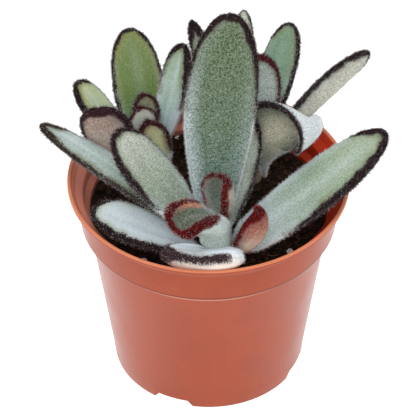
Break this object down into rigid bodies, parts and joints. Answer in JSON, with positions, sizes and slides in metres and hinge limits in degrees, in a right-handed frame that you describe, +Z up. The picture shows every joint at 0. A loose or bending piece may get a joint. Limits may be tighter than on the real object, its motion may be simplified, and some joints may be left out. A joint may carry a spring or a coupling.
{
  "type": "potted succulent plant",
  "caption": "Panda plant, a succulent with thick felted leaves edged in dark brown, growing in a round terracotta-coloured plastic nursery pot.",
  "frame": {"origin": "middle of the flat base disc that the pot stands on", "axes": "+Z up through the middle of the pot; -Y towards the side that the tall front rosette is nearest; +X to the right of someone who looks along +Y"},
  "size_m": [0.1096, 0.0935, 0.1292],
  "materials": {
    "pot_plastic": "moulded, slightly glossy terracotta-coloured polypropylene",
    "soil": "moist peat potting mix with fibres and a few white grains",
    "stem": "short matt hair over a woody young stem",
    "leaf": "dense short white felt over green, dark brown hair along the margin",
    "young_leaf": "dense short white felt over pale green, dark red hair along the margin"
  },
  "bodies": {
    "root": {"pot": "pot_plastic", "soil": "soil", "front_stem": "stem", "left_stem": "stem", "right_stem": "stem", "front_tall_leaf": "leaf", "front_left_leaf": "leaf", "front_low_left_leaf": "leaf", "front_rim_leaf": "leaf", "front_young_left_leaf": "young_leaf", "front_young_back_leaf": "young_leaf", "front_young_right_leaf": "young_leaf", "front_right_leaf": "leaf", "front_back_leaf": "leaf", "front_far_left_leaf": "leaf", "left_broad_leaf": "leaf", "left_channelled_leaf": "leaf", "left_side_leaf": "leaf", "left_near_leaf": "leaf", "left_low_leaf": "leaf", "left_hidden_leaf": "leaf", "left_young_back_leaf": "young_leaf", "left_young_middle_leaf": "young_leaf", "left_young_near_leaf": "young_leaf", "right_hooded_leaf": "leaf", "right_arched_leaf": "leaf", "right_back_leaf": "leaf", "right_small_leaf": "leaf", "right_inner_leaf": "leaf", "right_crossing_leaf": "leaf", "right_hidden_leaf": "leaf"}
  },
  "joints": []
}
